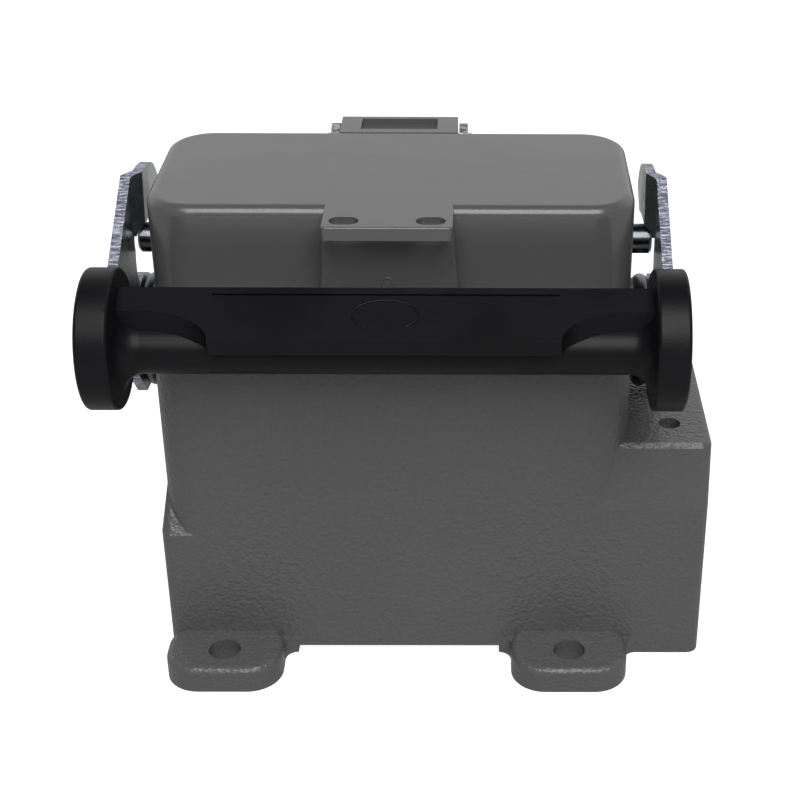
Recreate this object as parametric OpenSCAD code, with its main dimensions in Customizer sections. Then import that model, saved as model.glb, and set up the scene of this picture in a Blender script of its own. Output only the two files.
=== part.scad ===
// Surface mounting housing for a 16-pole rectangular connector, with a hinged
// plastic cover and one locking lever. The origin is the centre of the four
// mounting holes, on the base plane. +X runs along the length to the cable
// entry, -Y is the front, where the grip is, and +Z is up.

/* [Housing] */
// Half length of the upper body and collar
body_hx = 46.7; // [44:0.1:50]
// Half depth of the body
body_hy = 26.8; // [24:0.1:28]
// Corner radius of the body in plan
body_r = 6.7; // [5:0.1:8]
// Height of the shoulder where the body steps in to the collar
shoulder_z = 69.5; // [68:0.5:71]
// Radius of the shoulder's edge
shoulder_r = 3; // [1:0.5:4]
// How far the collar is set back from the body's front and rear
collar_in = 5.2; // [4.6:0.1:6]
// Height of the collar
collar_h = 6.2; // [5.5:0.1:7]
// Thickness of the casting's walls
wall = 3.3; // [2.5:0.1:3.6]
// Thickness of the casting's floor
floor_t = 6; // [5.8:0.1:9]
// Height of the relief under the base between the feet
relief_h = 1.8; // [0.5:0.1:3]

/* [Lower body and side block] */
// How far the lower body stands out past the upper body at the left end
skirt_out = 1.3; // [0.8:0.1:2.5]
// Height at which the lower body starts to draw in
skirt_z = 29.5; // [20:0.5:34]
// Height over which the lower body draws in
skirt_blend = 9.5; // [5:0.5:14]
// How far the side block stands out past the upper body
block_out = 16.9; // [15:0.1:22]
// Height of the side block
block_z = 50.3; // [48:0.1:50.6]
// Height of the upright lower part of the side block's front
block_knee_z = 36; // [30:0.5:42]
// How far the side block's front leans back above that
block_lean = 1.7; // [0.5:0.1:2.5]
// Radius of the side block's upright edges
block_r = 2.5; // [1.5:0.1:4]
// Chamfer round the side block's top
block_bevel = 0.9; // [0.4:0.1:1.4]
// Diameter of the two tapped holes in the side block's top
block_hole_d = 4.4; // [3:0.1:5]
// Depth of those holes
block_hole_deep = 10; // [6:0.5:16]
// Distance of those holes from the upper body's end
block_hole_out = 9; // [8.4:0.1:10]
// Distance between those holes
block_hole_gap = 32.8; // [28:0.1:36]

/* [Feet] */
// Distance of the mounting holes from the body's ends
foot_in = 10.95; // [10.9:0.05:14]
// Distance of the mounting holes in front of and behind the body
foot_hole_out = 6.4; // [5.2:0.1:9]
// Diameter of the mounting holes
foot_hole_d = 6.6; // [4.5:0.1:8]
// Width of a foot
foot_w = 24; // [20:0.5:26]
// Thickness of a foot
foot_t = 5.6; // [4:0.1:5.8]
// Material in front of a mounting hole's centre
foot_out = 6.9; // [5.5:0.1:9]
// Radius of a foot's corners
foot_r = 7; // [4:0.5:9]
// Radius round a foot's top edge
foot_edge = 1.3; // [0.6:0.1:2]

/* [Cable entry] */
// Core diameter of the cable entry's thread
entry_d = 23.5; // [16:0.5:30]
// Height of the cable entry's axis
entry_z = 26; // [24:0.5:28]
// Chamfer of the cable entry's mouth
entry_bevel = 1; // [0.5:0.1:1.5]

/* [Cover] */
// How far the cover stands out past the body's ends
cover_over = 0.05; // [0:0.05:0.4]
// Corner radius of the cover in plan
cover_r = 9; // [6:0.1:10]
// Height of the cover
cover_h = 23.1; // [21:0.1:26]
// Radius round the cover's top edge
cover_edge = 2; // [1:0.1:3]
// Thickness of the cover's walls
cover_wall = 2.6; // [2:0.1:3]
// How far the cover's lower rim stands out
lip_out = 0.5; // [0.2:0.1:0.8]
// Height of the cover's lower rim
lip_h = 3; // [2:0.1:4]
// Radius of the locking pegs
peg_r = 3; // [2.5:0.1:3.2]
// Height of the pegs' axis above the cover's lower rim
peg_up = 8; // [7:0.1:9]

/* [Front tab] */
// Width of the tab and of the panel under it
tab_w = 24.2; // [22:0.2:30]
// How far the tab stands out from the cover
tab_out = 9.3; // [8:0.1:10]
// Thickness of the tab
tab_t = 2.6; // [2:0.1:3.5]
// How far the panel under the tab stands out
panel_out = 4.1; // [2:0.1:4.4]
// How much wider the panel is at its foot
panel_spread = 2.4; // [0:0.1:3]
// Length of the tab's slots
slot_l = 5.5; // [4.5:0.1:7]
// Width of the tab's slots
slot_w = 3.6; // [2:0.1:3.8]
// Distance between the slots' centres
slot_gap = 16; // [12:0.5:17]
// Distance of the slots from the tab's front edge
slot_back = 3.2; // [2.8:0.1:4]

/* [Hinge] */
// Width of the hinge knuckle
knuckle_w = 24.6; // [20:0.2:30]
// How far the knuckle stands out from the cover's rear
knuckle_out = 9.3; // [9:0.1:11]
// Distance of the hinge axis from the cover's rear face
hinge_back = 5.2; // [5:0.1:5.6]
// Depth of the hinge axis below the cover's top
hinge_down = 4.4; // [4:0.1:5]
// Radius of the hinge pin
pin_r = 2; // [1.5:0.1:2.2]
// Radius of the bracket's ears and of the knuckle round the pin
ear_r = 4; // [3.6:0.1:4.2]
// Thickness of the bracket's steel
bracket_t = 1.8; // [1.2:0.1:2.4]
// Distance between the bracket's screws
bracket_screw_gap = 15; // [12:0.5:16]

/* [Lever] */
// Depth of the lever's pivot below the collar's rim
pivot_down = 12.3; // [12:0.1:12.5]
// Radius of the plates' lower end
hub_r = 11.7; // [10:0.1:12]
// Distance from the pivot to the arms' lower edge
heel_r = 12.5; // [11:0.1:12.5]
// Thickness of the lever plates
plate_t = 2; // [1.5:0.1:2.2]
// Height of the dished washers that hold the plates off the body
cup_h = 4; // [3.6:0.1:4.3]
// How far the hooks are set inward
hook_set = 1.9; // [1.5:0.1:2]
// Radius of the pivot studs
stud_r = 4; // [3:0.1:4.5]
// Radius of the dished washers
cup_r = 11.7; // [9.5:0.1:12]
// Radius of the rolled bead round them
cup_bead = 1.65; // [1:0.05:1.8]
// Swing of the lever from locked to open, in degrees
lever_swing = 42; // [38:1:42]

/* [Grip] */
// Distance of the grip's end discs in front of the pivot
grip_y = 37.4; // [37.4:0.1:41]
// Height of the grip's end discs above the pivot
grip_up = 16.5; // [16.3:0.1:18]
// Radius of the end discs
disc_r = 13.1; // [11:0.1:13.2]
// Thickness of the end discs
disc_t = 6; // [5.6:0.1:7]
// Plastic outside the lever plates
disc_skin = 0.7; // [0.6:0.1:2]
// Radius round the end discs' edges
disc_edge = 0.7; // [0.4:0.1:1.8]
// Radius of the grip's tube
tube_r = 4.9; // [4:0.1:5]
// Radius of the curve from the tube to an end disc
tube_flare = 4; // [2:0.1:4.4]
// Depth of the thumb rest, back to front
rest_d = 10.1; // [8:0.1:12]
// Height of the thumb rest's front edge
rest_lip = 2.8; // [1.5:0.1:3.2]
// Distance of the full-depth part of the thumb rest from the end discs
rest_end = 16.9; // [15:0.1:24]
// Length of the curve at each end of that part
rest_sweep = 12.6; // [8:0.1:14]
// Depth of the recess in the thumb rest
rest_sunk = 0.5; // [0.3:0.1:0.8]

/* [Contact insert] */
// Number of contacts in a row
poles = 8; // [4:1:8]
// Distance between contacts in a row
pole_gap = 7.6; // [6:0.1:7.8]
// Distance between the two rows
row_gap = 11.6; // [10:0.1:13]
// Gap round the insert's flange
insert_play = 1.15; // [0.9:0.05:1.4]
// Distance of the insert's screws from the flange's edges
insert_screw_in = 3.5; // [3.4:0.1:3.8]
// How far the insert reaches down from its flange
insert_deep = 27; // [24:0.5:30]
// How far the insert stands up past the gasket
insert_rise = 8; // [4:0.5:12]

/* [Hidden] */
$fn = 48;

// Small distances shared by the pieces
eps = 0.01;
joint_gap = 0.3;
running_gap = 0.05;
slide_gap = 0.1;

// Housing
collar_hy = body_hy - collar_in;
rim_z = shoulder_z + collar_h;
cavity_hx = body_hx - wall;
cavity_hy = body_hy - wall;
mouth_hy = collar_hy - wall;
cavity_r = 4;
seat_z = rim_z - 9.7;
gasket_w = wall - 1;
gasket_t = 1.6;
gasket_top = rim_z + 0.3;
post_r = 4.5;
boss_r = 7.5;
boss_out = 1.1;
tap_r = 1.65;
screw_l = 16;
screw_head_r = 3;
screw_head_h = 2.4;
foot_x = body_hx - foot_in;
foot_y = body_hy + foot_hole_out;
foot_front = foot_y + foot_out;
block_x = body_hx + block_out;
block_hole_x = body_hx + block_hole_out;
block_root_x = body_hx - body_r;
block_in = 3.4;

// Cover
cover_hx = body_hx + cover_over;
cover_hy = collar_hy - lip_out;
cover_z = gasket_top;
cover_top = cover_z + cover_h;
peg_z = cover_z + peg_up;
peg_neck_r = peg_r - 1;
peg_head_t = 1.2;
hinge_y = cover_hy + hinge_back;
hinge_z = cover_top - hinge_down;
tab_front = cover_hy + tab_out;
bracket_head_z = shoulder_z - shoulder_r - 0.5;
bracket_foot_z = bracket_head_z - 16;
bracket_screw_z = (bracket_foot_z + bracket_head_z) / 2;
bracket_in = knuckle_w / 2 + joint_gap;

// Lever
pivot_z = rim_z - pivot_down;
cup_in = body_hx + boss_out;
plate_x = cup_in + cup_h + slide_gap;
disc_y = -grip_y;
disc_z = pivot_z + grip_up;
disc_out = plate_x + plate_t + disc_skin;
disc_in = disc_out - disc_t;
tube_c = [-0.3, -1.55];
rest_hx = disc_in - rest_end;
rest_back = [2.1, 9.5];
rest_fall = 5.85;
peg_end = plate_x - joint_gap;
peg_arm = peg_z - pivot_z;
peg_gap = 0.2;
jaw_r = peg_arm + peg_r + peg_gap;
crown_r = 34.4;
plate_end_r = 8.5;
bend_w = 2.6;
bend_tilt = 80;
bend_at = [-4.2, 22.6];
rivet_t = 1.6;
head_t = 1.4;

// Contact insert
insert_hx = cavity_hx - insert_play;
insert_hy = mouth_hy - insert_play;
insert_screw_x = 2 * (insert_hx - insert_screw_in);
insert_screw_y = 2 * (insert_hy - insert_screw_in);
flange_t = 3;
flange_top = seat_z + flange_t;
insert_top = gasket_top + insert_rise;
insert_low = seat_z - insert_deep;
head_end = 4.8;
head_side = 5;
root_side = 5.6;
socket_r = 1.9;
pin_bore_r = 1.3;
pin_deep = insert_deep - 1;
clamp_r = 2.1;
clamp_h = 3.2;
clamp_up = 6;
slot_deep = 0.9;
earth_t = 1.2;
earth_head_r = 2.2;
earth_shank_r = 1.7;
earth_head_h = 2;
earth_in = earth_head_r + 2 * slide_gap + earth_t;
tongue_h = 9;
tongue_hy = 4;

// Rounded rectangle, half sizes hx and hy, corner radius r
module round_rect(hx, hy, r) {
    square([2 * (hx - r), 2 * hy], center = true);
    square([2 * hx, 2 * (hy - r)], center = true);
    for (sx = [-1, 1], sy = [-1, 1])
        translate([sx * (hx - r), sy * (hy - r)]) circle(r);
}

// Upright section, half width w and height h, with top corners of radius f
module soft_section(w, h, f) {
    translate([-w, 0]) square([2 * w, h - f]);
    translate([-(w - f), 0]) square([2 * (w - f), h]);
    for (s = [-1, 1]) translate([s * (w - f), h - f]) circle(f);
}

// Half of that section, to be turned about its upright axis
module soft_half(r, h, f) {
    square([r, h - f]);
    square([r - f, h]);
    translate([r - f, h - f]) circle(f);
}

// Block with rounded upright corners r and a rounded top edge f
module soft_block(hx, hy, r, h, f) {
    rotate([90, 0, 90]) linear_extrude(2 * (hx - r), center = true)
        soft_section(hy, h, f);
    rotate([90, 0, 0]) linear_extrude(2 * (hy - r), center = true)
        soft_section(hx, h, f);
    for (sx = [-1, 1], sy = [-1, 1])
        translate([sx * (hx - r), sy * (hy - r), 0]) rotate_extrude() soft_half(r, h, f);
}

// Cylinder along +X from x0 to x1, about the line at (y, z)
module bar_x(x0, x1, y, z, r) {
    translate([x0, y, z]) rotate([0, 90, 0]) cylinder(r = r, h = x1 - x0);
}

// Profile drawn in Y and Z, extruded along X from x0 to x1
module along_x(x0, x1) {
    translate([x0, 0, 0]) rotate([90, 0, 90]) linear_extrude(x1 - x0) children();
}

// ---- Housing ----

// Lower body at the left end, drawn in above skirt_z
module left_skirt() {
    out = body_hx + skirt_out;
    hull() {
        for (s = [-1, 1])
            translate([-(out - block_r), s * (body_hy - block_r), 0])
                cylinder(r = block_r, h = skirt_z, $fn = 32);
        translate([-block_root_x - 1, -body_hy, 0]) cube([1, 2 * body_hy, skirt_z]);
        translate([-body_hx, -(body_hy - body_r), 0])
            cube([body_r, 2 * (body_hy - body_r), skirt_z + skirt_blend]);
    }
}

// Side block, its front and rear leaning in above the knee
module side_block() {
    top_hy = body_hy - block_lean;
    top_r = block_r - block_bevel;
    hull() {
        for (s = [-1, 1]) {
            translate([block_x - block_r, s * (body_hy - block_r), 0])
                cylinder(r = block_r, h = block_knee_z, $fn = 32);
            translate([block_x - block_r, s * (top_hy - block_r), 0])
                cylinder(r = block_r, h = block_z - block_bevel, $fn = 32);
            translate([block_x - block_r, s * (top_hy - block_r), 0])
                cylinder(r = top_r, h = block_z, $fn = 32);
        }
        translate([block_root_x, -body_hy, 0]) cube([1, 2 * body_hy, block_knee_z]);
        translate([block_root_x, -top_hy, 0])
            cube([1, 2 * top_hy, block_z - block_bevel]);
        translate([block_root_x, block_bevel - top_hy, 0])
            cube([1, 2 * (top_hy - block_bevel), block_z]);
    }
}

// Foot in the corner (sx, sy), with a hollow curve where its flank meets the wall
module foot(sx, sy) {
    span = foot_front - cavity_hy;
    curve = 2.5;
    translate([sx * foot_x, sy * (foot_front - span / 2), 0])
        soft_block(foot_w / 2, span / 2, min(foot_r, span / 2 - eps), foot_t, foot_edge);
    for (side = sx > 0 ? [-1, 1] : [1])
        mirror([side > 0 ? 0 : 1, 0, 0]) mirror([0, sy > 0 ? 0 : 1, 0])
            translate([side * sx * foot_x + foot_w / 2 - 1, body_hy - 1, 0])
                linear_extrude(foot_t - foot_edge)
                    difference() {
                        square([curve + 1, curve + 1]);
                        translate([curve + 1, curve + 1]) circle(curve);
                    }
}

module body_shell() {
    soft_block(body_hx, body_hy, body_r, shoulder_z, shoulder_r);
    linear_extrude(rim_z) round_rect(body_hx, collar_hy, body_r);
    left_skirt();
    side_block();
    for (sx = [-1, 1], sy = [-1, 1]) foot(sx, sy);
    for (s = [-1, 1])
        bar_x(min(s * cavity_hx, s * cup_in), max(s * cavity_hx, s * cup_in), 0, pivot_z, boss_r);
}

// Posts inside the casting that take the insert's screws and the block's screws
module inner_posts() {
    for (sx = [-1, 1], sy = [-1, 1])
        translate([sx * insert_screw_x / 2, sy * insert_screw_y / 2, floor_t - 1]) {
            cylinder(r = post_r, h = seat_z - floor_t + 1);
            translate([-1.5, sy > 0 ? 0 : insert_screw_y / 2 - body_hy + 1, 0])
                cube([3, body_hy - 1 - insert_screw_y / 2, shoulder_z - floor_t - wall]);
        }
    for (s = [-1, 1])
        translate([block_hole_x, s * block_hole_gap / 2, block_z - block_hole_deep - 3])
            cylinder(r = post_r, h = block_hole_deep + 1);
    for (s = [-1, 1])
        translate([s * bracket_screw_gap / 2, body_hy - 1, bracket_screw_z])
            rotate([90, 0, 0]) cylinder(r = post_r, h = wall + 2);
}

module housing() {
    color([0.36, 0.36, 0.36])
    difference() {
        union() {
            difference() {
                body_shell();
                translate([0, 0, floor_t]) linear_extrude(shoulder_z - 2 * wall - floor_t)
                    round_rect(cavity_hx, cavity_hy, cavity_r);
                translate([0, 0, floor_t]) linear_extrude(rim_z)
                    round_rect(cavity_hx, mouth_hy, cavity_r);
                translate([cavity_hx - cavity_r, -(cavity_hy - 2), floor_t])
                    cube([block_x - block_in - cavity_hx + cavity_r, 2 * (cavity_hy - 2),
                        block_z - block_in - floor_t]);
            }
            inner_posts();
        }
        // rebate for the gasket
        translate([0, 0, gasket_top - gasket_t]) linear_extrude(gasket_t + 1)
            round_rect(cavity_hx + gasket_w, mouth_hy + gasket_w, cavity_r + gasket_w);
        // mounting holes and the relief under the base
        for (sx = [-1, 1], sy = [-1, 1])
            translate([sx * foot_x, sy * foot_y, -1]) cylinder(d = foot_hole_d, h = foot_t + 2);
        translate([foot_w / 2 - foot_x + 2.5, -body_hy - 4, -1])
            cube([2 * foot_x - foot_w - 5, 2 * body_hy + 8, 1 + relief_h]);
        // cable entry
        bar_x(cavity_hx + 2, block_x + 1, 0, entry_z, entry_d / 2);
        translate([block_x - entry_bevel, 0, entry_z]) rotate([0, 90, 0])
            cylinder(r1 = entry_d / 2, r2 = entry_d / 2 + entry_bevel + eps, h = entry_bevel + eps);
        // tapped holes
        for (s = [-1, 1])
            translate([block_hole_x, s * block_hole_gap / 2, block_z - block_hole_deep])
                cylinder(d = block_hole_d, h = block_hole_deep + 1);
        for (sx = [-1, 1], sy = [-1, 1])
            translate([sx * insert_screw_x / 2, sy * insert_screw_y / 2, seat_z - 15])
                cylinder(r = tap_r, h = 16);
        for (s = [-1, 1])
            translate([s * bracket_screw_gap / 2, body_hy + 1, bracket_screw_z])
                rotate([90, 0, 0]) cylinder(r = tap_r, h = wall + 3);
        // stud holes through the bosses, with seats for the studs' heads
        for (s = [-1, 1])
            translate([0, 0, pivot_z]) rotate([0, 90 * s, 0]) {
                translate([0, 0, cavity_hx - 1]) cylinder(r = stud_r - 0.5 + running_gap, h = wall + 4);
                translate([0, 0, cavity_hx - 1]) cylinder(r = stud_r + 2 + running_gap, h = 1 + head_t);
            }
    }
}

module housing_gasket() {
    color([0.08, 0.08, 0.08])
    translate([0, 0, gasket_top - gasket_t]) linear_extrude(gasket_t)
        difference() {
            round_rect(cavity_hx + gasket_w - running_gap, mouth_hy + gasket_w - running_gap,
                cavity_r + gasket_w - running_gap);
            round_rect(cavity_hx, mouth_hy, cavity_r);
        }
}

// ---- Contact insert ----

function pole_x(i) = (i - (poles - 1) / 2) * pole_gap;

module insert_body() {
    head_hx = pole_x(poles - 1) + head_end;
    color([0.75, 0.76, 0.74])
    difference() {
        union() {
            translate([0, 0, seat_z]) linear_extrude(flange_t)
                round_rect(insert_hx, insert_hy, 2);
            translate([0, 0, insert_low]) linear_extrude(insert_deep + 1)
                round_rect(head_hx - 1, row_gap / 2 + root_side, 1.5);
            translate([0, 0, seat_z]) linear_extrude(insert_top - seat_z)
                round_rect(head_hx, row_gap / 2 + head_side, 2);
        }
        for (i = [0:poles - 1], s = [-1, 1]) {
            translate([pole_x(i), s * row_gap / 2, insert_low - 1])
                cylinder(r = socket_r + running_gap, h = insert_top - insert_low - 1);
            translate([pole_x(i), s * row_gap / 2, insert_top - 3])
                cylinder(r = pin_bore_r + 0.2, h = 4);
            translate([pole_x(i), s * (row_gap / 2 + root_side + 1), insert_low + clamp_up])
                rotate([90 * s, 0, 0]) cylinder(r = clamp_r + slide_gap, h = root_side);
        }
        for (sx = [-1, 1], sy = [-1, 1])
            translate([sx * insert_screw_x / 2, sy * insert_screw_y / 2, seat_z - 1])
                cylinder(r = tap_r + 0.5, h = flange_t + 2);
        for (s = [-1, 1])
            translate([s * insert_screw_x / 2, 0, seat_z - 1])
                cylinder(r = earth_shank_r + running_gap, h = flange_t + 2);
    }
}

module contacts() {
    color([0.80, 0.66, 0.32])
    for (i = [0:poles - 1], s = [-1, 1])
        translate([pole_x(i), s * row_gap / 2, insert_low + 0.5])
            difference() {
                cylinder(r = socket_r, h = insert_top - insert_low - 3);
                translate([0, 0, insert_top - insert_low - pin_deep])
                    cylinder(r = pin_bore_r, h = pin_deep);
            }
}

module terminal_screws() {
    color([0.78, 0.79, 0.80])
    for (i = [0:poles - 1], s = [-1, 1])
        translate([pole_x(i), s * (row_gap / 2 + socket_r + slide_gap), insert_low + clamp_up])
            rotate([-90 * s, 0, 0])
                difference() {
                    cylinder(r = clamp_r, h = clamp_h);
                    translate([-clamp_r - 1, -0.35, clamp_h - slot_deep])
                        cube([2 * clamp_r + 2, 0.7, slot_deep + 1]);
                }
}

// Earth plate on the flange's end, with an upright contact tongue
module earth_plate(side) {
    inner = insert_screw_x / 2 - earth_in;
    color([0.72, 0.73, 0.74])
    mirror([side > 0 ? 0 : 1, 0, 0])
        difference() {
            translate([inner, 0, flange_top]) {
                translate([0, 0.5 - insert_hy, 0])
                    cube([insert_hx - 0.5 - inner, 2 * insert_hy - 1, earth_t]);
                translate([0, -tongue_hy, 0]) cube([earth_t, 2 * tongue_hy, tongue_h]);
            }
            for (s = [-1, 1])
                translate([insert_screw_x / 2, s * insert_screw_y / 2, flange_top - 1])
                    cylinder(r = tap_r + 0.5, h = earth_t + 2);
            translate([insert_screw_x / 2, 0, flange_top - 1])
                cylinder(r = earth_shank_r + running_gap, h = earth_t + 2);
        }
}

// Cheese-head screw, head on z = 0 and shank downward, with a cross slot
module screw(shank_r, shank_l, head_r, head_h) {
    translate([0, 0, -shank_l]) cylinder(r = shank_r, h = shank_l + eps);
    difference() {
        cylinder(r = head_r, h = head_h);
        for (a = [0, 90]) rotate(a)
            translate([-head_r * 0.6, -0.4, head_h - 1]) cube([head_r * 1.2, 0.8, 2]);
    }
}

module earth_screws() {
    color([0.80, 0.80, 0.78])
    for (s = [-1, 1])
        translate([s * insert_screw_x / 2, 0, flange_top + earth_t])
            screw(earth_shank_r, flange_t + earth_t + 2, earth_head_r, earth_head_h);
}

module insert_screws() {
    color([0.80, 0.80, 0.78])
    for (sx = [-1, 1], sy = [-1, 1])
        translate([sx * insert_screw_x / 2, sy * insert_screw_y / 2, flange_top + earth_t])
            screw(tap_r - running_gap, screw_l, screw_head_r, screw_head_h);
}

// ---- Cover and hinge ----

// Panel under the tab, wider at its foot
module front_panel() {
    translate([0, -cover_hy + 1, cover_z + lip_h - 1]) rotate([90, 0, 0])
        linear_extrude(panel_out + 1)
            polygon([
                [-(tab_w + panel_spread) / 2, 0], [(tab_w + panel_spread) / 2, 0],
                [tab_w / 2, cover_h - lip_h + 1 - tab_t], [-tab_w / 2, cover_h - lip_h + 1 - tab_t]
            ]);
}

module front_tab() {
    translate([0, -cover_hy - tab_out + (tab_out + 5) / 2, cover_top - tab_t])
        difference() {
            soft_block(tab_w / 2, (tab_out + 5) / 2, 0.8, tab_t, 0.4);
            for (s = [-1, 1])
                translate([s * slot_gap / 2, slot_back - (tab_out + 5) / 2, -1])
                    linear_extrude(tab_t + 2)
                        round_rect(slot_l / 2, slot_w / 2, slot_w / 2 - eps);
        }
}

// Knuckle round the hinge pin, in profile
module knuckle_profile() {
    rear = cover_hy + knuckle_out;
    translate([hinge_y, hinge_z]) circle(ear_r + 0.4);
    translate([cover_hy - 1, hinge_z - ear_r - 0.4]) square([hinge_back + 1, ear_r + 0.4]);
    translate([cover_hy - 1, hinge_z]) square([knuckle_out + 1 - 0.6, hinge_down]);
    translate([cover_hy - 1, hinge_z]) square([knuckle_out + 1, hinge_down - 0.6]);
    translate([rear - 0.6, cover_top - 0.6]) circle(0.6);
}

module cover() {
    color([0.40, 0.40, 0.40])
    difference() {
        union() {
            translate([0, 0, cover_z])
                soft_block(cover_hx, cover_hy, cover_r, cover_h, cover_edge);
            translate([0, 0, cover_z])
                linear_extrude(lip_h)
                    round_rect(cover_hx + lip_out, cover_hy + lip_out, cover_r + lip_out);
            front_panel();
            front_tab();
            along_x(-knuckle_w / 2, knuckle_w / 2) knuckle_profile();
        }
        // hollow
        translate([0, 0, cover_z - 1]) linear_extrude(cover_h - cover_wall + 1)
            round_rect(cover_hx - cover_wall, cover_hy - cover_wall, cover_r - cover_wall);
        // recess in the knuckle's top
        translate([-8, cover_hy + 1, cover_top - 1.2]) cube([16, 6.5, 2]);
        // hinge bore
        bar_x(-knuckle_w / 2 - 1, knuckle_w / 2 + 1, hinge_y, hinge_z, pin_r + running_gap);
        // holes for the pegs
        for (s = [-1, 1])
            translate([s * (cover_hx - cover_wall / 2), 0, peg_z]) rotate([0, 90, 0])
                cylinder(r = peg_neck_r + running_gap, h = cover_wall + 2, center = true);
    }
}

// Locking peg: head inside the cover, neck through its wall and a round nose
module cover_peg(side) {
    wall_in = cover_hx - cover_wall;
    nose = 0.5;
    color([0.70, 0.70, 0.71])
    translate([0, 0, peg_z]) rotate([0, 90 * side, 0]) rotate_extrude() {
        translate([0, wall_in - peg_head_t]) square([peg_r + 0.6, peg_head_t]);
        translate([0, wall_in - eps]) square([peg_neck_r, cover_wall + 2 * eps]);
        polygon([[0, cover_hx], [peg_r, cover_hx], [peg_r, peg_end - nose],
            [peg_r - nose, peg_end], [0, peg_end]]);
    }
}

// Ear of the bracket: foot on the rear wall, eye round the hinge pin
module ear_profile() {
    difference() {
        union() {
            translate([hinge_y, hinge_z]) circle(ear_r);
            polygon([
                [body_hy, bracket_foot_z], [hinge_y + ear_r, bracket_foot_z],
                [hinge_y + ear_r, hinge_z], [hinge_y - ear_r, hinge_z],
                [hinge_y - ear_r + 1.5, rim_z + lip_h + 2], [body_hy, shoulder_z]
            ]);
        }
        translate([hinge_y, hinge_z]) circle(pin_r + running_gap);
    }
}

module hinge_bracket() {
    color([0.75, 0.77, 0.78])
    difference() {
        union() {
            for (s = [-1, 1])
                along_x(s > 0 ? bracket_in : -bracket_in - bracket_t,
                    s > 0 ? bracket_in + bracket_t : -bracket_in) ear_profile();
            translate([-bracket_in - eps, body_hy, bracket_foot_z])
                cube([2 * (bracket_in + eps), bracket_t, bracket_head_z - bracket_foot_z]);
        }
        for (s = [-1, 1])
            translate([s * bracket_screw_gap / 2, body_hy + bracket_t + 1, bracket_screw_z])
                rotate([90, 0, 0]) cylinder(r = 2.2, h = bracket_t + 2);
    }
}

module bracket_screws() {
    color([0.80, 0.80, 0.78])
    for (s = [-1, 1])
        translate([s * bracket_screw_gap / 2, body_hy + bracket_t, bracket_screw_z])
            rotate([-90, 0, 0]) screw(tap_r - running_gap, wall + bracket_t + 2, screw_head_r, screw_head_h);
}

module hinge_pin() {
    reach = bracket_in + bracket_t + 0.9;
    color([0.78, 0.79, 0.80]) bar_x(-reach, reach, hinge_y, hinge_z, pin_r);
}

// ---- Lever ----

// Stud: head inside the wall, neck through it, axle for the plate and riveted head
module pivot_stud(side) {
    color([0.76, 0.78, 0.80])
    translate([0, 0, pivot_z]) rotate([0, 90 * side, 0]) {
        translate([0, 0, cavity_hx]) cylinder(r = stud_r + 2, h = head_t);
        translate([0, 0, cavity_hx + head_t - eps])
            cylinder(r = stud_r - 0.5, h = cup_in - cavity_hx - head_t + 2 * eps);
        translate([0, 0, cup_in]) cylinder(r = stud_r, h = plate_x + plate_t + slide_gap - cup_in + eps);
        translate([0, 0, plate_x + plate_t + slide_gap]) cylinder(r = stud_r + 3, h = rivet_t - 0.5);
        translate([0, 0, plate_x + plate_t + slide_gap]) cylinder(r = stud_r + 2.4, h = rivet_t);
    }
}

// Dished washer between the boss and the plate, with a rolled bead round it
module pivot_cup(side) {
    bead = [cup_r - cup_bead, cup_h - cup_bead];
    color([0.70, 0.73, 0.75])
    translate([0, 0, pivot_z]) rotate([0, 90 * side, 0]) translate([0, 0, cup_in])
        rotate_extrude() difference() {
            union() {
                polygon([[0, 0], [boss_r, 0], bead + cup_bead * [cos(75), -sin(75)],
                    bead, [bead[0], cup_h], [0, cup_h]]);
                translate(bead) circle(cup_bead);
            }
            square([2 * (stud_r + running_gap), 3 * cup_h], center = true);
        }
}

// Points on a circle of radius r about the pivot, angles measured from upright
// toward the rear
function about_pivot(r, a) = [r * sin(a), r * cos(a)];
function arc_points(r0, r1, a0, a1, n) =
    [for (i = [0:n]) about_pivot(r0 + (r1 - r0) * i / n, a0 + (a1 - a0) * i / n)];

// The arm's lower edge is a tangent of the hub that lies level when the lever is
// fully open, so that it passes over the side block
under_dir = [-cos(90 - lever_swing), sin(90 - lever_swing)];
under_foot = heel_r * [-sin(lever_swing), -cos(lever_swing)];
heel = under_foot - 2.3 * under_dir;
under_tip = under_foot + 26 * under_dir;

// The arm's upper edge, from the grip back to the crown of the hook
arm_top = [
    [-grip_y, grip_up + plate_end_r], [-grip_y + 5, grip_up + 6.8], [-28.5, 19.8],
    [-25.5, 20.2], [-20, 23.5], [-2.6, 33.9]
];

// Tip of the hook
hook_tip = [[12, 31.8], [14.2, 29.5], [15.4, 27.5], [15.6, 26.4], [15, 25.3], [13.8, 24.6]];

// Whole outline of a plate, in Y and Z from the pivot. The hook's underside is an
// arc about the pivot, so it slides over the peg as the lever turns
module plate_outline() {
    end_r = peg_r + peg_gap + 0.2;
    circle(hub_r, $fn = 96);
    translate([-grip_y, grip_up]) circle(plate_end_r);
    polygon(concat(
        [[0, 0], hub_r * [-sin(6), -cos(6)], heel, under_tip,
            [-grip_y, grip_up - plate_end_r]],
        arm_top,
        arc_points(crown_r, crown_r, -2.5, 16, 5),
        hook_tip,
        arc_points(jaw_r + 0.8, jaw_r, 24, -2, 7),
        [for (a = [105:19:200]) [end_r * cos(a) - 0.7, peg_arm + end_r * sin(a)]],
        [[-4.5, 17.2], [-4.6, 14.6], [-3.8, 12.8]]
    ));
}

// Area of the outline that lies behind the bend, above the mouth
module hook_zone() {
    polygon([
        bend_at, bend_at + 40 * [cos(bend_tilt), sin(bend_tilt)], [50, peg_arm],
        [-1, peg_arm]
    ]);
}

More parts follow.
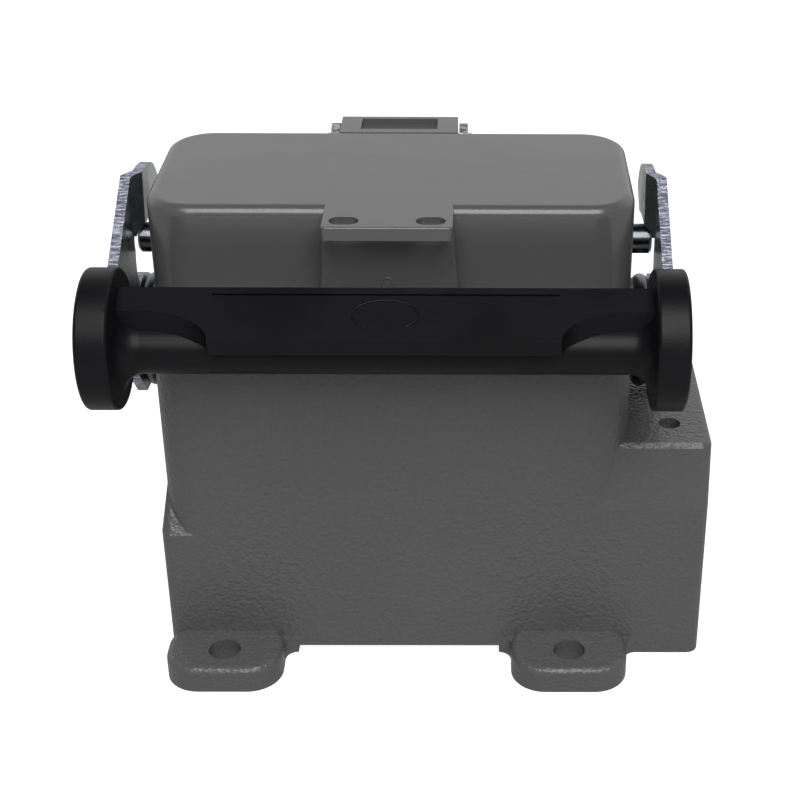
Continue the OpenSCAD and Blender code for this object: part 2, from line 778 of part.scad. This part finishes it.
// Strip of steel set inward behind the bend, drawn across the bend line
module set_strip() {
    far = 40;
    polygon([
        [-far, plate_x], [0, plate_x], [bend_w, plate_x - hook_set], [far, plate_x - hook_set],
        [far, plate_x - hook_set + plate_t], [bend_w + 0.8, plate_x - hook_set + plate_t],
        [0.8, plate_x + plate_t], [-far, plate_x + plate_t]
    ]);
}

module hook_solid() {
    intersection() {
        along_x(plate_x - 4, plate_x + 4)
            intersection() {
                plate_outline();
                hook_zone();
            }
        translate([0, bend_at[0], bend_at[1]]) rotate([bend_tilt - 90, 0, 0])
            translate([0, 0, -40]) linear_extrude(80) mirror([1, -1]) set_strip();
    }
}

module lever_plate(side) {
    color([0.74, 0.77, 0.79])
    translate([0, 0, pivot_z]) mirror([side > 0 ? 0 : 1, 0, 0])
        difference() {
            union() {
                along_x(plate_x, plate_x + plate_t)
                    difference() {
                        plate_outline();
                        hook_zone();
                    }
                hook_solid();
            }
            bar_x(plate_x - 1, plate_x + plate_t + 1, 0, 0, stud_r + running_gap);
        }
}

// Thumb rest: plan of its half length, y measured forward from its back edge
module rest_plan() {
    narrow = 4.5;
    for (s = [-1, 1]) mirror([s > 0 ? 0 : 1, 0])
        polygon(concat(
            [[0, 0], [disc_in + 1, 0], [disc_in + 1, narrow]],
            [for (a = [90:-5:0])
                [rest_hx + rest_sweep * (1 - cos(a)), rest_d - (rest_d - narrow) * sin(a)]],
            [[0, rest_d]]
        ));
}

module thumb_rest() {
    difference() {
        intersection() {
            along_x(-disc_out, disc_out) polygon([
                rest_back, [rest_back[0] - rest_d, rest_back[1] - rest_fall],
                [rest_back[0] - rest_d, rest_back[1] - rest_fall - rest_lip],
                [tube_c[0] - 2, tube_c[1] + tube_r - 1], tube_c, [rest_back[0], 0]
            ]);
            translate([0, rest_back[0], -20]) linear_extrude(40) mirror([0, 1]) rest_plan();
        }
        // shallow recess with slanted ends
        translate([0, rest_back[0], rest_back[1]]) rotate([atan(rest_fall / rest_d), 0, 0])
            translate([0, 0, -rest_sunk]) linear_extrude(4)
                polygon([[-rest_hx, -1.4], [rest_hx, -1.4], [rest_hx - 6, -8.4], [6 - rest_hx, -8.4]]);
    }
}

module end_disc() {
    rotate([0, 90, 0]) rotate_extrude($fn = 96) {
        translate([0, disc_in]) square([disc_r - disc_edge, disc_t]);
        translate([0, disc_in + disc_edge]) square([disc_r, disc_t - 2 * disc_edge]);
        for (z = [disc_in + disc_edge, disc_out - disc_edge])
            translate([disc_r - disc_edge, z]) circle(disc_edge);
    }
}

// Hollow curve by which the tube widens into an end disc
module end_flare() {
    translate([0, tube_c[0], tube_c[1]]) rotate([0, 90, 0]) rotate_extrude($fn = 96)
        difference() {
            translate([0, disc_in - tube_flare]) square([tube_r + tube_flare, tube_flare + 1]);
            translate([tube_r + tube_flare, disc_in - tube_flare]) circle(tube_flare);
        }
}

module lever_grip() {
    color([0.06, 0.06, 0.065])
    translate([0, disc_y, disc_z])
        difference() {
            union() {
                bar_x(-disc_out + 1, disc_out - 1, tube_c[0], tube_c[1], tube_r);
                thumb_rest();
                for (s = [-1, 1]) mirror([s > 0 ? 0 : 1, 0, 0]) {
                    end_disc();
                    end_flare();
                }
            }
            // pockets that the plates' ends fill
            for (s = [-1, 1]) mirror([s > 0 ? 0 : 1, 0, 0])
                translate([0, grip_y, -grip_up])
                    along_x(plate_x - running_gap, plate_x + plate_t + running_gap)
                        plate_pocket();
        }
}

// Outline of the pocket in an end disc
module plate_pocket() {
    translate([-grip_y, grip_up]) circle(plate_end_r + running_gap);
    polygon(concat(
        [under_foot - [0, 2 * running_gap], under_tip - [0, 2 * running_gap],
            [-grip_y, grip_up - plate_end_r - running_gap]],
        [for (p = arm_top) p + [0, running_gap]],
        [[-2.6, 20]]
    ));
}

housing();
housing_gasket();
insert_body();
contacts();
terminal_screws();
earth_plate(-1);  // earth_plate_left
earth_plate(1);  // earth_plate_right
earth_screws();
insert_screws();
cover();
cover_peg(-1);  // cover_peg_left
cover_peg(1);  // cover_peg_right
hinge_bracket();
bracket_screws();
hinge_pin();
pivot_stud(-1);  // pivot_stud_left
pivot_stud(1);  // pivot_stud_right
pivot_cup(-1);  // pivot_cup_left
pivot_cup(1);  // pivot_cup_right
lever_plate(-1);  // lever_plate_left
lever_plate(1);  // lever_plate_right
lever_grip();
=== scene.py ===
import math

import bmesh
import bpy
from mathutils import Matrix, Vector


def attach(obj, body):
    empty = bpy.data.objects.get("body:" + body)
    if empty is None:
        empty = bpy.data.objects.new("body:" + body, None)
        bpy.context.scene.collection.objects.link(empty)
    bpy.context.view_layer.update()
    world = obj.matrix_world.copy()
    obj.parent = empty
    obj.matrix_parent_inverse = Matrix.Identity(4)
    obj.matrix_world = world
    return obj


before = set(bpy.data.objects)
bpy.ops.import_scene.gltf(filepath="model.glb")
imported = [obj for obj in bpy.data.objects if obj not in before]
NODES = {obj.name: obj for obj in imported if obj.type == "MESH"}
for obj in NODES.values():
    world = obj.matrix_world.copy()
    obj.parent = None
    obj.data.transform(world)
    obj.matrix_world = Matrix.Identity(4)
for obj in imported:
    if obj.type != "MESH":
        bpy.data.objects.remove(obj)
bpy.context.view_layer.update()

MM = 0.001


# ---- node helpers ----

class Shader:
    """A material's node tree, with short calls for the nodes that it uses."""

    def __init__(self, name):
        self.mat = bpy.data.materials.new(name)
        self.mat.use_nodes = True
        self.tree = self.mat.node_tree
        self.bsdf = self.tree.nodes["Principled BSDF"]

    def add(self, kind, **values):
        node = self.tree.nodes.new(kind)
        for key, value in values.items():
            setattr(node, key, value)
        return node

    def link(self, a, b):
        self.tree.links.new(a, b)

    def set(self, **values):
        for key, value in values.items():
            self.bsdf.inputs[key.replace("_", " ")].default_value = value

    def coords(self, scale=(1, 1, 1)):
        tex = self.add("ShaderNodeTexCoord")
        mapping = self.add("ShaderNodeMapping")
        mapping.inputs["Scale"].default_value = scale
        self.link(tex.outputs["Object"], mapping.inputs["Vector"])
        return mapping.outputs["Vector"]

    def noise(self, vector, scale, detail=3.0, rough=0.5, distort=0.0):
        node = self.add("ShaderNodeTexNoise")
        node.inputs["Scale"].default_value = scale
        node.inputs["Detail"].default_value = detail
        node.inputs["Roughness"].default_value = rough
        node.inputs["Distortion"].default_value = distort
        self.link(vector, node.inputs["Vector"])
        return node.outputs["Fac"]

    def math(self, op, a, b=0.5):
        node = self.add("ShaderNodeMath", operation=op)
        for socket, value in zip(node.inputs, (a, b)):
            if isinstance(value, (int, float)):
                socket.default_value = value
            else:
                self.link(value, socket)
        return node.outputs[0]

    def range(self, value, lo, hi, to_lo=0.0, to_hi=1.0):
        node = self.add("ShaderNodeMapRange")
        for i, v in ((1, lo), (2, hi), (3, to_lo), (4, to_hi)):
            node.inputs[i].default_value = v
        self.link(value, node.inputs[0])
        return node.outputs[0]

    def mix(self, factor, a, b):
        node = self.add("ShaderNodeMix", data_type="RGBA")
        self.link(factor, node.inputs[0])
        for socket, value in ((node.inputs[6], a), (node.inputs[7], b)):
            if isinstance(value, tuple):
                socket.default_value = (*value, 1.0)
            else:
                self.link(value, socket)
        return node.outputs[2]

    def bump(self, height, strength, distance, after=None):
        node = self.add("ShaderNodeBump")
        node.inputs["Strength"].default_value = strength
        node.inputs["Distance"].default_value = distance
        self.link(height, node.inputs["Height"])
        if after is not None:
            self.link(after, node.inputs["Normal"])
        return node.outputs["Normal"]

    def color(self, value):
        self.link(value, self.bsdf.inputs["Base Color"])

    def roughness(self, value):
        self.link(value, self.bsdf.inputs["Roughness"])

    def normal(self, value):
        self.link(value, self.bsdf.inputs["Normal"])


def grey(level):
    return (level, level, level)


def textured_paint():
    """Thick powder coat on die-cast aluminium, with an orange-peel skin."""
    s = Shader("textured_paint")
    v = s.coords()
    peel = s.noise(v, 1150, 1.0, 0.45, 0.4)
    lumps = s.noise(v, 560, 1.0, 0.4)
    broad = s.noise(v, 26, 2.0)
    peel_height = s.range(peel, 0.26, 0.74)
    body = s.mix(s.range(broad, 0.3, 0.7), grey(0.094), grey(0.1))
    # Colour is a little darker where the peel is low, from the same mask as the bump height:
    # painted shade in the hollows of the skin
    s.color(s.mix(peel_height, s.mix(s.range(broad, 0.3, 0.7), grey(0.086), grey(0.092)), body))
    s.roughness(s.range(peel, 0.3, 0.7, 0.4, 0.3))
    n = s.bump(lumps, 0.3, 0.00022)
    s.normal(s.bump(peel_height, 0.6, 0.00021, n))
    s.set(IOR=1.5)
    return s.mat


def cover_plastic():
    """Satin moulded plastic with a barely rippled skin."""
    s = Shader("cover_plastic")
    v = s.coords()
    ripple = s.noise(v, 90, 2.0)
    fine = s.noise(v, 2600, 2.0, 0.6)
    broad = s.noise(v, 18, 2.0)
    s.color(s.mix(s.range(broad, 0.3, 0.7), (0.084, 0.084, 0.086), (0.09, 0.09, 0.092)))
    s.roughness(s.range(fine, 0.3, 0.7, 0.2, 0.27))
    n = s.bump(ripple, 0.12, 0.0009)
    s.normal(s.bump(fine, 0.3, 0.00006, n))
    s.set(IOR=1.54)
    return s.mat


def grip_plastic():
    """Black moulded plastic, slightly greyed where it is touched."""
    s = Shader("grip_plastic")
    v = s.coords()
    fine = s.noise(v, 2200, 2.0, 0.6)
    broad = s.noise(v, 40, 3.0)
    s.color(s.mix(s.range(broad, 0.35, 0.7), (0.004, 0.0037, 0.0048), (0.0056, 0.0052, 0.0067)))
    s.roughness(s.range(broad, 0.3, 0.7, 0.36, 0.46))
    s.normal(s.bump(fine, 0.4, 0.00006))
    s.set(IOR=1.45, Specular_IOR_Level=0.2)
    return s.mat


def zinc(name, base=(0.62, 0.65, 0.67), streaks=True, rough=(0.24, 0.38)):
    """Blue-passivated zinc plate. Cut edges show the grain of the shears."""
    s = Shader(name)
    v = s.coords()
    cloud = s.noise(v, 130, 3.0, 0.55, 0.6)
    olive = (base[0] * 0.95, base[1] * 0.99, base[2] * 0.93)
    tint = s.mix(s.range(cloud, 0.35, 0.65), base, olive)
    fine = s.noise(v, 1500, 2.0)
    n = s.bump(fine, 0.12, 0.00005)
    r = s.range(cloud, 0.3, 0.7, *rough)
    if streaks:
        geo = s.add("ShaderNodeNewGeometry")
        split = s.add("ShaderNodeSeparateXYZ")
        s.link(geo.outputs["Normal"], split.inputs[0])
        flat = s.math("ABSOLUTE", split.outputs["X"])
        edge = s.range(flat, 0.35, 0.6, 1.0, 0.0)
        grain = s.noise(s.coords(scale=(420, 2600, 2600)), 1.0, 2.0, 0.6, 0.3)
        marks = s.range(grain, 0.42, 0.62)
        tint = s.mix(edge, tint, s.mix(marks, (0.2, 0.21, 0.26), (0.62, 0.65, 0.76)))
        n = s.bump(s.math("MULTIPLY", edge, marks), 0.7, 0.00025, n)
        r = s.math("ADD", r, s.math("MULTIPLY", edge, 0.22))
    s.color(tint)
    s.roughness(r)
    s.normal(n)
    s.set(Metallic=1.0)
    return s.mat


def brass():
    s = Shader("contact_metal")
    v = s.coords()
    cloud = s.noise(v, 300, 2.0)
    s.color(s.mix(cloud, (0.78, 0.6, 0.27), (0.84, 0.68, 0.36)))
    s.roughness(s.range(cloud, 0.3, 0.7, 0.2, 0.34))
    s.set(Metallic=1.0)
    return s.mat


# Plain stuff: share that its colour wanders, scale of that, and depth of the bumps
SPREAD = 0.06
CLOUD_SCALE = 60
BUMPY = 0.1


def plain(name, color, rough):
    s = Shader(name)
    v = s.coords()
    cloud = s.noise(v, CLOUD_SCALE, 3.0)
    fine = s.noise(v, CLOUD_SCALE * 30, 2.0)
    dark, light = (tuple(c * k for c in color) for k in (1 - SPREAD, 1 + SPREAD))
    s.color(s.mix(cloud, dark, light))
    s.roughness(s.range(fine, 0.3, 0.7, rough - 0.05, rough + 0.05))
    s.normal(s.bump(fine, BUMPY, 0.00005))
    return s.mat


PAINT = textured_paint()
COVER = cover_plastic()
GRIP = grip_plastic()
PLATE = zinc("zinc_plate")
HARDWARE = zinc("zinc_hardware", (0.6, 0.62, 0.63), streaks=False, rough=(0.26, 0.36))
# Pins and cups: metal with a very dark base colour, much darker than bare steel
STEEL = zinc("dark_steel", (0.1, 0.105, 0.12), streaks=False, rough=(0.16, 0.24))
BRASS = brass()
SEAL = plain("seal_rubber", (0.02, 0.02, 0.021), 0.7)
INSERT = plain("insert_plastic", (0.52, 0.53, 0.5), 0.45)

FINISH = {
    "housing": PAINT, "cover": COVER, "lever_grip": GRIP,
    "lever_plate_left": PLATE, "lever_plate_right": PLATE, "hinge_bracket": PLATE,
    "cover_peg_left": STEEL, "cover_peg_right": STEEL,
    "pivot_cup_left": STEEL, "pivot_cup_right": STEEL,
    "housing_gasket": SEAL, "insert_body": INSERT, "contacts": BRASS,
}


# Edges sharper than this are bevelled (degrees)
BEVEL_ANGLE = 35


def finish_node(name, material, bevel):
    obj = NODES[name]
    obj.data.materials.clear()
    obj.data.materials.append(material)
    if bevel:
        mod = obj.modifiers.new("edges", "BEVEL")
        mod.width = bevel
        mod.segments = 2
        mod.limit_method = "ANGLE"
        mod.angle_limit = math.radians(BEVEL_ANGLE)
        mod.harden_normals = True


# Widths of the worn edges (m)
BEVELS = {
    "lever_plate_left": 0.00022, "lever_plate_right": 0.00022, "hinge_bracket": 0.0002,
    "lever_grip": 0.00045,
}
for node_name in NODES:
    finish_node(node_name, FINISH.get(node_name, HARDWARE), BEVELS.get(node_name, 0.0))


# ---- small moulded marks ----

# Section of a ring: shares of its width and of its height
RING_SECTION = ((-0.5, 0.0), (-0.36, 0.8), (0.0, 1.0), (0.36, 0.8), (0.5, 0.0))
RING_STEPS = 72


def ring_mesh(name, rx, ry, width, height):
    """Low oval ring with a rounded top, flat on its own XY plane."""
    bm = bmesh.new()
    rows = []
    for i in range(RING_STEPS):
        a = 2 * math.pi * i / RING_STEPS
        nx, ny = math.cos(a), math.sin(a)
        rows.append([bm.verts.new((nx * (rx + p * width), ny * (ry + p * width), q * height))
                     for p, q in RING_SECTION])
    for i in range(RING_STEPS):
        a, b = rows[i], rows[(i + 1) % RING_STEPS]
        for j in range(len(RING_SECTION) - 1):
            bm.faces.new((a[j], b[j], b[j + 1], a[j + 1]))
        bm.faces.new((a[-1], b[-1], b[0], a[0]))
    for f in bm.faces:
        f.smooth = True
    bmesh.ops.recalc_face_normals(bm, faces=bm.faces)
    mesh = bpy.data.meshes.new(name)
    bm.to_mesh(mesh)
    bm.free()
    obj = bpy.data.objects.new(name, mesh)
    bpy.context.scene.collection.objects.link(obj)
    return obj


# Marks: piece, CAD node, body, slot, material, half axes, width and height of the outline,
# start and direction of the ray that finds its seat (mm)
MARKS = (
    ("grip_oval", "lever_grip", "lever", "grip_plastic", GRIP,
     (6.0, 3.2), 0.5, 0.2, (0, -39.9, 110), (0, 0, -1)),
    ("panel_ring", "cover", "base", "cover_plastic", COVER,
     (1.1, 1.1), 0.3, 0.2, (-0.4, -45, 85.6), (0, 1, 0)),
)

# Depth that a mark is sunk into the surface (mm)
SUNK = 0.01


def seat(node, origin, aim):
    """Point and normal where a ray from origin along aim meets a CAD node."""
    obj = NODES[node]
    back = obj.matrix_world.inverted()
    hit, place, normal, _ = obj.ray_cast(back @ origin, back.to_3x3() @ aim)
    if not hit:
        raise RuntimeError("no surface under the mark on " + node)
    return obj.matrix_world @ place, (obj.matrix_world.to_3x3() @ normal).normalized()


def make_marks():
    """Plain raised outlines where the real piece has moulded signs."""
    for name, node, body, slot, material, size, width, height, origin, aim in MARKS:
        place, normal = seat(node, Vector(origin) * MM, Vector(aim))
        obj = ring_mesh(name, size[0] * MM, size[1] * MM, width * MM, height * MM)
        turn = Matrix.Rotation(math.atan2(-normal.y, normal.z), 4, "X")
        obj.data.transform(Matrix.Translation(place - normal * SUNK * MM) @ turn)
        obj.data.materials.append(material)
        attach(obj, body)


make_marks()


# ---- floor, light and camera ----

# World strength behind and in front of the object, how much of it is left overhead,
# and the heights between which it falls
SKY_BACK, SKY_FRONT = 0.88, 0.17
SKY_TOP = 0.04
SKY_LOW, SKY_HIGH = 0.5, 0.85
# Where the world turns from front to back, along Y
SKY_TURN = (-0.2, 0.6)

# Floor: half size, diffuse grey, glow to the camera and the share of it in reflections
FLOOR = 2.0
FLOOR_GREY = 0.45
FLOOR_GLOW = 0.92
FLOOR_GLOSS = 0.12

# Gap between the floor and the feet, so that their faces don't coincide
FLOOR_DROP = 0.00005


def make_floor():
    """Pale floor that takes the shadow and is plain white to the camera."""
    bm = bmesh.new()
    for x, y in ((-FLOOR, -FLOOR), (FLOOR, -FLOOR), (FLOOR, FLOOR), (-FLOOR, FLOOR)):
        bm.verts.new((x, y, -FLOOR_DROP))
    bm.faces.new(bm.verts)
    mesh = bpy.data.meshes.new("backdrop")
    bm.to_mesh(mesh)
    bm.free()
    obj = bpy.data.objects.new("backdrop", mesh)
    bpy.context.scene.collection.objects.link(obj)
    s = Shader("backdrop_white")
    s.set(Base_Color=(*grey(FLOOR_GREY), 1), Roughness=0.9, Specular_IOR_Level=0.1)
    rays = s.add("ShaderNodeLightPath")
    seen = s.math("MAXIMUM", rays.outputs["Is Camera Ray"], rays.outputs["Is Transmission Ray"])
    seen = s.math("MAXIMUM", seen, s.math("MULTIPLY", rays.outputs["Is Glossy Ray"], FLOOR_GLOSS))
    glow = s.add("ShaderNodeEmission")
    glow.inputs["Color"].default_value = (1, 1, 1, 1)
    s.link(s.math("MULTIPLY", seen, FLOOR_GLOW), glow.inputs["Strength"])
    both = s.add("ShaderNodeAddShader")
    s.link(s.bsdf.outputs[0], both.inputs[0])
    s.link(glow.outputs[0], both.inputs[1])
    s.link(both.outputs[0], s.tree.nodes["Material Output"].inputs["Surface"])
    obj.data.materials.append(s.mat)


def area(name, place, aim, size, power):
    lamp = bpy.data.lights.new(name, "AREA")
    lamp.shape = "RECTANGLE"
    lamp.size, lamp.size_y = size
    lamp.energy = power
    obj = bpy.data.objects.new(name, lamp)
    obj.location = place
    obj.rotation_euler = (Vector(aim) - Vector(place)).to_track_quat("-Z", "Y").to_euler()
    bpy.context.scene.collection.objects.link(obj)


def make_world():
    """White studio: bright behind, dim in front and overhead, plain white to the camera."""
    world = bpy.data.worlds.new("studio")
    bpy.context.scene.world = world
    world.use_nodes = True
    tree = world.node_tree

    def node(kind, **values):
        made = tree.nodes.new(kind)
        for key, value in values.items():
            setattr(made, key, value)
        return made

    path_node = node("ShaderNodeLightPath")
    seen = node("ShaderNodeMath", operation="MAXIMUM")
    tree.links.new(path_node.outputs["Is Camera Ray"], seen.inputs[0])
    tree.links.new(path_node.outputs["Is Transmission Ray"], seen.inputs[1])
    split = node("ShaderNodeSeparateXYZ")
    tree.links.new(node("ShaderNodeTexCoord").outputs["Generated"], split.inputs[0])
    dome = node("ShaderNodeMapRange", interpolation_type="SMOOTHSTEP")
    for i, v in ((1, SKY_LOW), (2, SKY_HIGH), (3, 1.0), (4, SKY_TOP)):
        dome.inputs[i].default_value = v
    tree.links.new(split.outputs["Z"], dome.inputs[0])
    sides = node("ShaderNodeMapRange", interpolation_type="SMOOTHSTEP")
    for i, v in ((1, SKY_TURN[0]), (2, SKY_TURN[1]), (3, SKY_FRONT), (4, SKY_BACK)):
        sides.inputs[i].default_value = v
    tree.links.new(split.outputs["Y"], sides.inputs[0])
    lit = node("ShaderNodeMath", operation="MULTIPLY")
    tree.links.new(dome.outputs[0], lit.inputs[0])
    tree.links.new(sides.outputs[0], lit.inputs[1])
    best = node("ShaderNodeMath", operation="MAXIMUM")
    tree.links.new(lit.outputs[0], best.inputs[0])
    tree.links.new(seen.outputs[0], best.inputs[1])
    back = tree.nodes["Background"]
    tree.links.new(best.outputs[0], back.inputs["Strength"])
    back.inputs["Color"].default_value = (1, 1, 1, 1)


# Camera as fitted to the photo: angles in degrees, aim and distance in mm,
# focal length and sideways shift in pixels of an 800-pixel frame on a 36 mm sensor
PITCH, YAW, ROLL = 29.03, -0.5, 0.38
CAMERA_AIM = (19.74, 0, 46.5)
CAMERA_DISTANCE = 351.04
FOCAL, SHIFT = 1645.0, -92.3
FRAME, SENSOR = 800, 36


def make_camera():
    pitch, yaw, roll = math.radians(PITCH), math.radians(YAW), math.radians(ROLL)
    aim = Vector(CAMERA_AIM) * MM
    distance = CAMERA_DISTANCE * MM
    turn = Matrix.Rotation(yaw, 3, "Z")
    look = turn @ Vector((0, math.cos(pitch), -math.sin(pitch)))
    up = turn @ Vector((0, math.sin(pitch), math.cos(pitch)))
    right = turn @ Vector((1, 0, 0))
    rolled_right = math.cos(roll) * right + math.sin(roll) * up
    rolled_up = math.cos(roll) * up - math.sin(roll) * right
    cam = bpy.data.cameras.new("camera")
    cam.sensor_width = SENSOR
    cam.lens = FOCAL * SENSOR / FRAME
    cam.shift_x = SHIFT / FRAME
    cam.clip_start = 0.01
    obj = bpy.data.objects.new("camera", cam)
    pose = Matrix((rolled_right, rolled_up, -look)).transposed().to_4x4()
    pose.translation = aim - distance * look
    obj.matrix_world = pose
    bpy.context.scene.collection.objects.link(obj)
    bpy.context.scene.camera = obj


make_floor()
make_world()
area("key_box", (0.08, -0.62, 0.85), (0, 0, 0.05), (0.8, 0.75), 11.5)
make_camera()
bpy.context.scene.view_settings.view_transform = "Standard"
